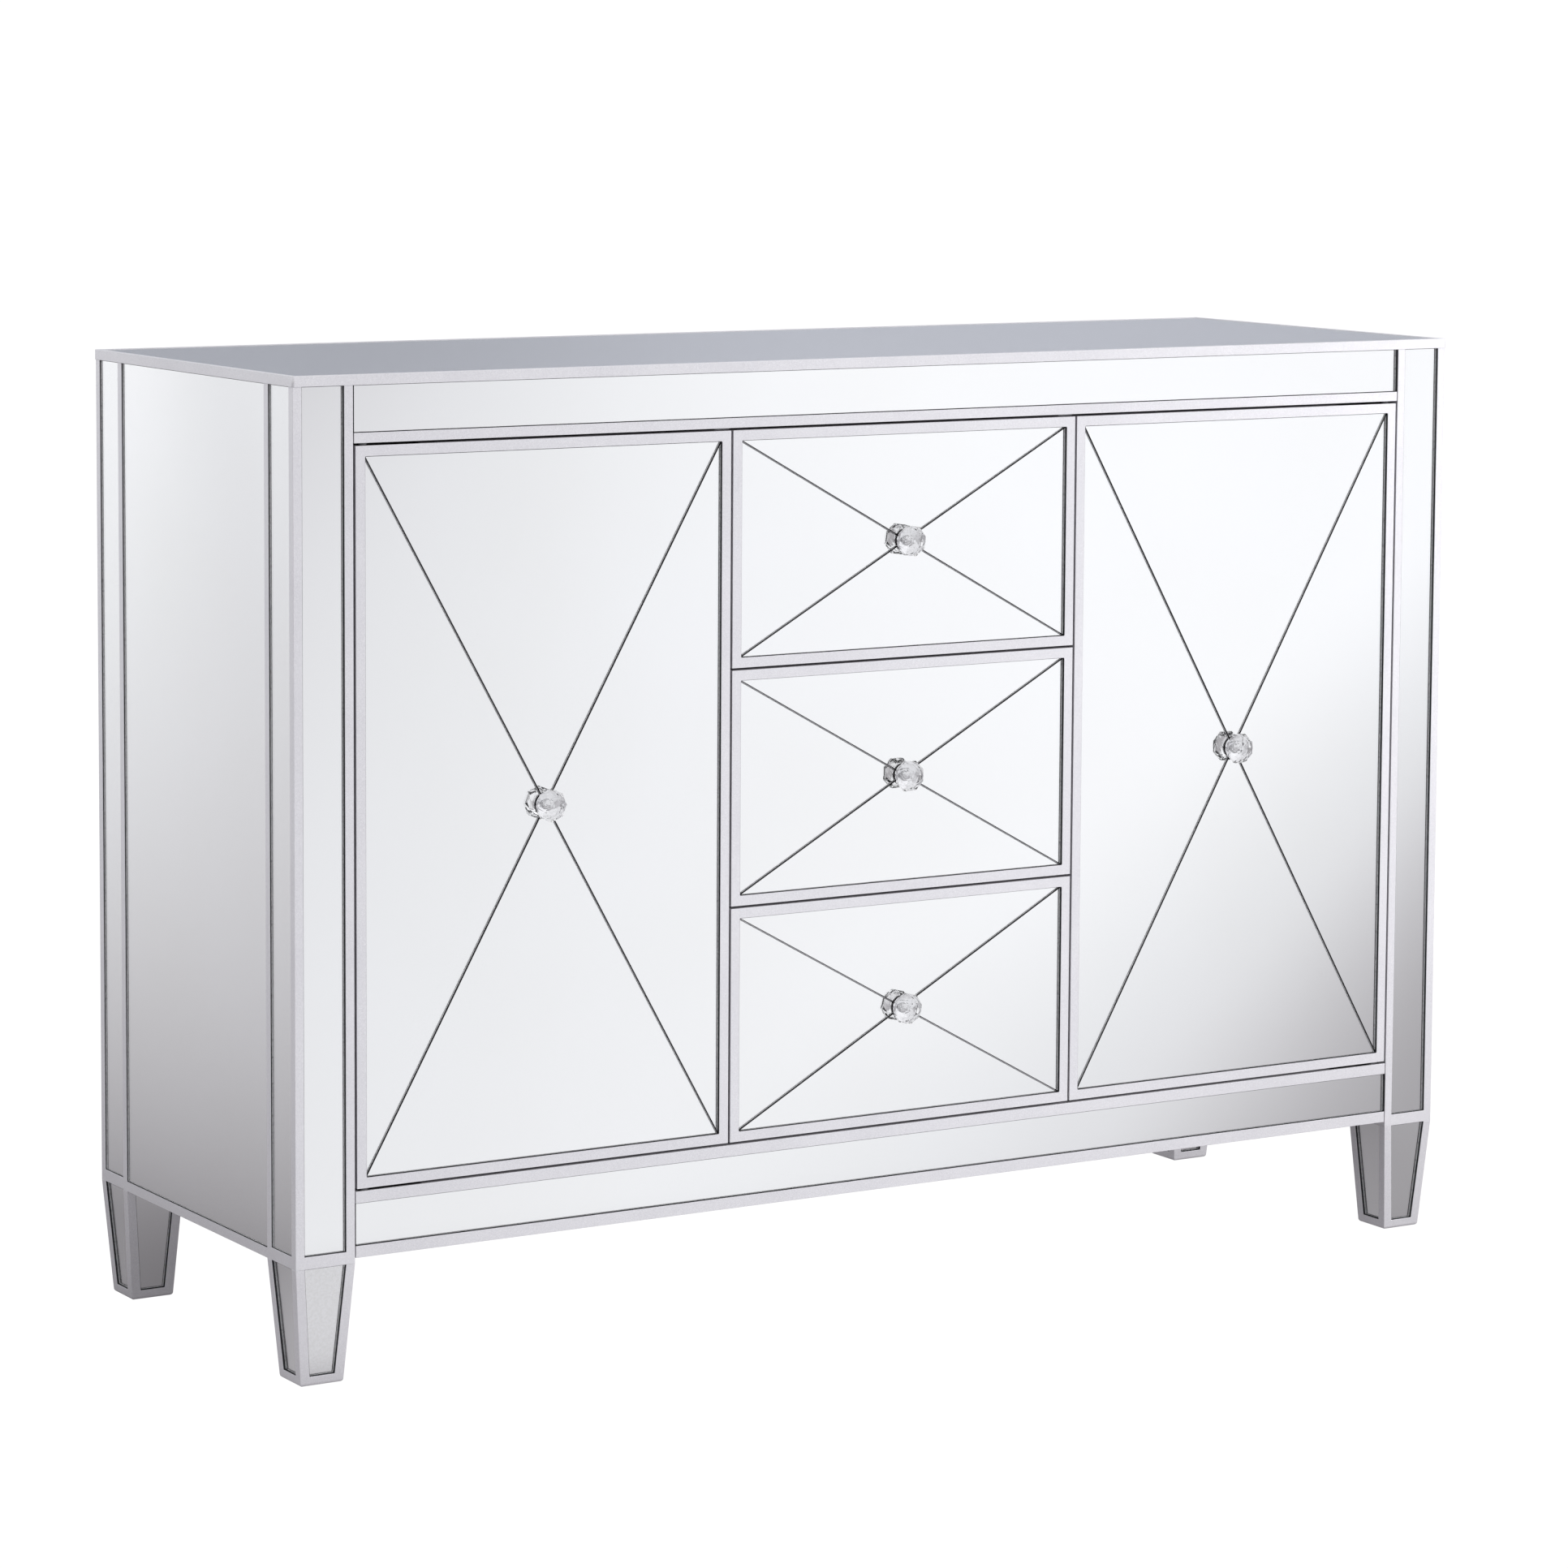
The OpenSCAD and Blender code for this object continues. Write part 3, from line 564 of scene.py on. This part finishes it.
def crystal_mesh(bm, radius, rise, base):
    """Cut-glass knob around +Z: round neck, flared back, octagonal girdle, star-cut crown, flat table."""
    neck = ring(bm, 0.60 * radius, base, 32)
    collar = ring(bm, 0.64 * radius, base + 0.05 * rise, 32)
    waist = ring(bm, 0.68 * radius, base + 0.10 * rise, 32)
    skin(bm, neck, collar)
    skin(bm, collar, waist)
    bm.faces.new(neck)
    pavilion = ring(bm, 0.84 * radius, base + 0.20 * rise, 8, 0.5)
    for i in range(8):
        fan = [waist[(4 * i + 2 + k) % 32] for k in range(5)]
        bm.faces.new(fan + [pavilion[(i + 1) % 8], pavilion[i]])
    girdle = ring(bm, radius, base + 0.32 * rise, 8, 1.0)
    facets(bm, pavilion, girdle)
    rim = ring(bm, radius, base + 0.50 * rise, 8, 1.0)
    skin(bm, girdle, rim)
    crown = ring(bm, 0.74 * radius, base + 0.76 * rise, 8, 1.5)
    facets(bm, rim, crown)
    table = ring(bm, 0.52 * radius, base + 0.93 * rise, 8, 2.0)
    facets(bm, crown, table)
    top = ring(bm, 0.40 * radius, base + rise, 8, 2.0)
    skin(bm, table, top)
    bm.faces.new(top)


def make_knob(name):
    """Replaces the CAD knob of one front, and gives its base, insert and screw more shape."""
    low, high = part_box(f"{name}_knob")
    glass_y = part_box(f"{name}_mirrors")[0].y
    mount_low, mount_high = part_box(f"{name}_knob_mount")
    middle = (mount_low + mount_high) / 2
    out = glass_y - low.y
    base = glass_y - high.y
    place = Matrix.Translation((middle.x, glass_y, middle.z)) @ Matrix.Rotation(math.radians(90), 4, "X")
    place = place @ Matrix.Rotation(math.radians(KNOB_TURNS[name]), 4, "Z")

    glass = bmesh.new()
    crystal_mesh(glass, CRYSTAL_RADIUS, out - base, base)
    glass.transform(place)
    piece = new_piece(f"{name}_crystal", glass, [CRYSTAL], name)
    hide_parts(f"{name}_knob")

    metal = bmesh.new()
    radius = (mount_high.x - mount_low.x) / 2
    disc = [(radius - 0.3 * MM, 0.02 * MM), (radius, 0.3 * MM), (radius, 0.8 * MM), (radius, base - 0.5 * MM)]
    disc += [(radius - 0.5 * MM, base), (0.55 * radius, base + 0.02 * MM)]
    lathe(metal, disc, 48, bright_rows=range(2, len(disc)))
    # The bright ridged cone that the crystal is cemented on.
    insert = [(3.4 * MM, base + 0.1 * MM)]
    for i in range(INSERT_RIDGES):
        height = base + (0.8 + 1.3 * i) * MM
        size = (3.3 - 0.28 * i) * MM
        insert.append((size, height))
        insert.append((size - 0.5 * MM, height + 0.6 * MM))
    insert.append((1.2 * MM, base + 9.0 * MM))
    lathe(metal, insert, 32, bright_rows=range(len(insert)))
    # The head and shank of the screw that comes through the front board.
    back = glass_y - mount_high.y
    head = [(4.2 * MM, back + 2.35 * MM), (4.2 * MM, back + 1.0 * MM)]
    head += [(3.2 * MM, back + 0.2 * MM), (1.0 * MM, back)]
    lathe(metal, head, 32)
    lathe(metal, [(2.0 * MM, back + 2.3 * MM), (2.0 * MM, -0.02 * MM)], 24)
    metal.transform(place)
    piece = new_piece(f"{name}_knob_base", metal, [KNOB_METAL, KNOB_CHROME], name)
    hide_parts(f"{name}_knob_mount")
    for polygon in piece.data.polygons:
        polygon.use_smooth = True
    sharp = piece.modifiers.new("edges", "EDGE_SPLIT")
    sharp.split_angle = math.radians(32)


for name in FRONTS:
    make_knob(name)


# ---------------------------------------------------------------- floor, studio and light

def plane(name, size, centre, material):
    bm = bmesh.new()
    bmesh.ops.create_grid(bm, x_segments=1, y_segments=1, size=size)
    data = bpy.data.meshes.new(name)
    bm.to_mesh(data)
    bm.free()
    data.materials.append(material)
    obj = bpy.data.objects.new(name, data)
    obj.location = centre
    scene.collection.objects.link(obj)
    return obj


class Glow:
    """Node helper for stage materials and the world: values are computed from x, y and z."""

    def __init__(self, tree):
        self.nodes, self.links = tree.nodes, tree.links
        self.nodes.clear()

    def new(self, kind, *inputs, **settings):
        node = self.nodes.new(kind)
        for key, value in settings.items():
            setattr(node, key, value)
        for socket, value in enumerate(inputs):
            if value is None:
                continue
            if hasattr(value, "is_linked"):
                self.links.new(value, node.inputs[socket])
            else:
                node.inputs[socket].default_value = value
        return node.outputs[0]

    def math(self, operation, *inputs):
        return self.new("ShaderNodeMath", *inputs, operation=operation)

    def blend(self, factor, first, second):
        """Mix of two colours; the second one is given as numbers."""
        node = self.nodes.new("ShaderNodeMix")
        node.data_type = "RGBA"
        self.links.new(factor, node.inputs[0])
        self.links.new(first, node.inputs[6])
        node.inputs[7].default_value = second
        return node.outputs[2]

    def fade(self, value, start, end, low, high):
        """Smooth step of a value from low at start to high at end."""
        return self.new("ShaderNodeMapRange", value, start, end, low, high, interpolation_type="SMOOTHSTEP")


def set_stops(ramp, stops):
    """Fills a colour ramp with (position, colour) stops."""
    while len(ramp.elements) < len(stops):
        ramp.elements.new(0.5)
    for element, (position, colour) in zip(ramp.elements, stops):
        element.position = position
        element.color = colour


def floor_material():
    material = bpy.data.materials.new("pale_floor")
    material.use_nodes = True
    g = Glow(material.node_tree)
    shine = g.new("ShaderNodeEmission", (1, 1, 1, 1), 1.05)
    output = g.nodes.new("ShaderNodeOutputMaterial")
    g.links.new(shine, output.inputs["Surface"])
    return material


def painted_light_floor_material():
    """Painted light and shade that the mirrors see in place of the studio floor: a glowing sheet, white in
    front, darker near the cabinet.

    The camera doesn't see this floor. Every gradient is fixed in the room and runs straight along
    x, y or a diagonal.
    """
    material = bpy.data.materials.new("painted_light_floor")
    material.use_nodes = True
    g = Glow(material.node_tree)
    position = g.nodes.new("ShaderNodeNewGeometry").outputs["Position"]
    split = g.nodes.new("ShaderNodeSeparateXYZ")
    g.links.new(position, split.inputs[0])
    x, y = split.outputs["X"], split.outputs["Y"]
    ahead = g.math("MULTIPLY", y, -1.0)
    # To the right of the front the light falls off along a diagonal.
    right = g.math("SUBTRACT", x, ahead)
    slow_fall = g.fade(right, -0.80, 0.50, 1.02, 0.62)
    fall_right = g.math("MULTIPLY", slow_fall, g.fade(right, -0.15, 0.35, 1.0, 0.62))
    # To the left it is a little less bright.
    left = g.math("SUBTRACT", x, g.math("MULTIPLY", ahead, 0.57))
    fall_left = g.fade(left, -4.4, 0.9, 0.32, 1.0)
    front = g.math("MULTIPLY", fall_right, fall_left)
    # Behind and beside the cabinet it rises with the distance from its middle.
    aside = g.math("ABSOLUTE", x)
    open_level = g.math("SUBTRACT", 1.02, g.math("DIVIDE", 0.55, aside))
    rising = g.math("MAXIMUM", open_level, 0.34)
    # Along a second diagonal it is a little brighter towards the back.
    rearward = g.math("SUBTRACT", y, g.math("MULTIPLY", aside, 2.2))
    beside = g.math("MULTIPLY", rising, g.fade(rearward, -1.8, -0.9, 0.90, 1.05))
    behind = g.fade(y, -0.35, 0.25, 0.0, 1.0)
    open_floor = g.new("ShaderNodeMix", behind, None, front, beside)
    # Soft shadow under the cabinet and just around it.
    clear_x = g.fade(aside, 0.45, 0.90, 0.0, 1.0)
    deep = g.math("ABSOLUTE", y)
    clear_y = g.math("ADD", g.fade(deep, 0.10, 0.26, 0.0, 0.6), g.fade(deep, 0.45, 0.75, 0.0, 0.4))
    clear = g.math("MAXIMUM", clear_x, clear_y)
    darkest = g.fade(x, 0.0, 0.55, 0.44, 0.85)
    level = g.math("MULTIPLY", open_floor, g.fade(clear, 0.0, 1.0, darkest, 1.0))
    # Dark parts lean to lilac, bright ones to blue.
    tint = g.nodes.new("ShaderNodeValToRGB")
    set_stops(tint.color_ramp, ((0.2, (1.0, 0.958, 1.0, 1)), (0.85, (0.975, 0.982, 1.0, 1))))
    g.links.new(level, tint.inputs["Fac"])
    shine = g.new("ShaderNodeEmission", tint.outputs["Color"], g.math("MULTIPLY", level, 1.013))
    output = g.nodes.new("ShaderNodeOutputMaterial")
    g.links.new(shine, output.inputs["Surface"])
    return material


FLOOR_HALF = 60
floor = plane("floor", FLOOR_HALF, (0, 0, -0.0005), floor_material())
floor.visible_glossy = False
floor.visible_transmission = False
floor.visible_diffuse = False
# A hidden glowing sheet with painted light and shade: the mirrors see it and it lights the cabinet, but the
# camera doesn't.
studio = plane("painted_light_floor", FLOOR_HALF, (0, 0, -0.001), painted_light_floor_material())
studio.visible_camera = False
studio.visible_shadow = False


def make_world():
    """White to the eye; for light and reflections, blue-grey at the horizon and white overhead."""
    world = bpy.data.worlds.new("studio")
    world.use_nodes = True
    scene.world = world
    g = Glow(world.node_tree)
    direction = g.nodes.new("ShaderNodeTexCoord").outputs["Generated"]
    split = g.nodes.new("ShaderNodeSeparateXYZ")
    g.links.new(direction, split.inputs[0])
    ramp = g.nodes.new("ShaderNodeValToRGB")
    set_stops(ramp.color_ramp, (
        (0.0, (0.40, 0.41, 0.455, 1)), (0.12, (0.52, 0.54, 0.60, 1)),
        (0.35, (0.80, 0.82, 0.86, 1)), (0.8, (1.0, 1.0, 1.0, 1)),
    ))
    g.links.new(split.outputs["Z"], ramp.inputs["Fac"])
    # A soft bright patch to the right, seen in the mirror of the top.
    x = split.outputs["X"]
    patch = g.math("MULTIPLY", g.fade(x, 0.44, 0.53, 1.0, 1.27), g.fade(x, 0.56, 0.68, 1.0, 0.84))
    # White walls in front of the cabinet and on its left.
    walls = g.math("MAXIMUM", g.fade(split.outputs["Y"], -0.5, 0.3, 1.0, 0.0), g.fade(x, -0.4, 0.2, 1.0, 0.0))
    colour = g.blend(walls, ramp.outputs["Color"], (0.97, 0.975, 0.99, 1))
    lit = g.new("ShaderNodeBackground", colour, patch)
    seen = g.new("ShaderNodeBackground", (1, 1, 1, 1), 1.05)
    is_camera = g.nodes.new("ShaderNodeLightPath").outputs["Is Camera Ray"]
    both = g.new("ShaderNodeMixShader", is_camera, lit, seen)
    output = g.nodes.new("ShaderNodeOutputWorld")
    g.links.new(both, output.inputs["Surface"])


make_world()


def softbox(name, place, target, size, power):
    data = bpy.data.lights.new(name, "AREA")
    data.shape = "RECTANGLE"
    data.size, data.size_y = size
    data.energy = power
    light = bpy.data.objects.new(name, data)
    light.location = place
    light.rotation_euler = (Vector(target) - Vector(place)).to_track_quat("-Z", "Y").to_euler()
    light.visible_glossy = False
    light.visible_transmission = False
    light.visible_camera = False
    scene.collection.objects.link(light)


softbox("key", (1.9, -1.4, 0.8), (0.5, 0, 0.5), (0.8, 0.8), 80)


# ---------------------------------------------------------------- camera

SENSOR = 36
LENS = 117.7
SHIFT_Y = -0.15
CAMERA_PLACE = (-2.475, -4.0435, 1.153)
YAW, PITCH, ROLL = math.radians(-31.355), math.radians(5.774), math.radians(-0.344)


def make_camera():
    data = bpy.data.cameras.new("camera")
    data.sensor_width = SENSOR
    data.lens = LENS
    data.shift_y = SHIFT_Y
    data.clip_end = 200
    camera = bpy.data.objects.new("camera", data)
    ahead = Vector((-math.sin(YAW) * math.cos(PITCH), math.cos(YAW) * math.cos(PITCH), -math.sin(PITCH)))
    level = Vector((math.cos(YAW), math.sin(YAW), 0))
    down = ahead.cross(level)
    right = math.cos(ROLL) * level + math.sin(ROLL) * down
    down = math.cos(ROLL) * down - math.sin(ROLL) * level
    turn = Matrix((right, -down, -ahead)).transposed()
    camera.matrix_world = Matrix.Translation(CAMERA_PLACE) @ turn.to_4x4()
    scene.collection.objects.link(camera)
    scene.camera = camera


make_camera()
scene.view_settings.view_transform = "Standard"
scene.view_settings.look = "None"
